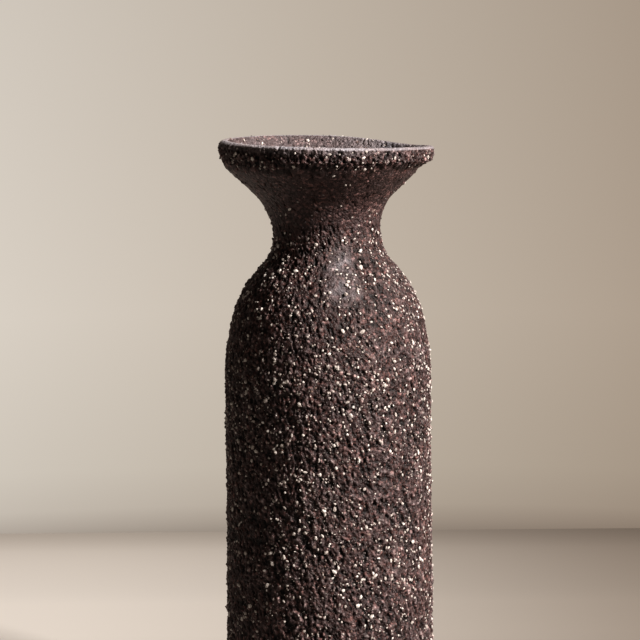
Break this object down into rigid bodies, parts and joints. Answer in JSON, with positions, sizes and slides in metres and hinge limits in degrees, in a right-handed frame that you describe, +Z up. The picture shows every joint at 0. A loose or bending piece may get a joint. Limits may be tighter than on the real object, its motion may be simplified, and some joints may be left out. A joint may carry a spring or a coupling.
{
  "type": "vase",
  "caption": "Bottle-shaped stoneware vase with a straight body, narrow waisted neck and funnel mouth with a thick rim, in bare rough grogged clay, to hold stems and water.",
  "frame": {"origin": "centre of the foot, on the surface that the vase stands on", "axes": "+Z up along the vase's axis; +X and +Y are any two horizontal directions, because the vase is round"},
  "size_m": [0.0924, 0.0924, 0.281],
  "materials": {
    "clay": "matte",
    "grog": "matte",
    "liner_glaze": "satin"
  },
  "bodies": {
    "root": {"floor_slab": "clay", "floor_seam_coil": "clay", "lower_wall": "clay", "upper_wall": "clay", "shoulder": "clay", "neck": "clay", "mouth_flare": "clay", "rim_coil": "clay", "liner_glaze": "liner_glaze"}
  },
  "joints": []
}
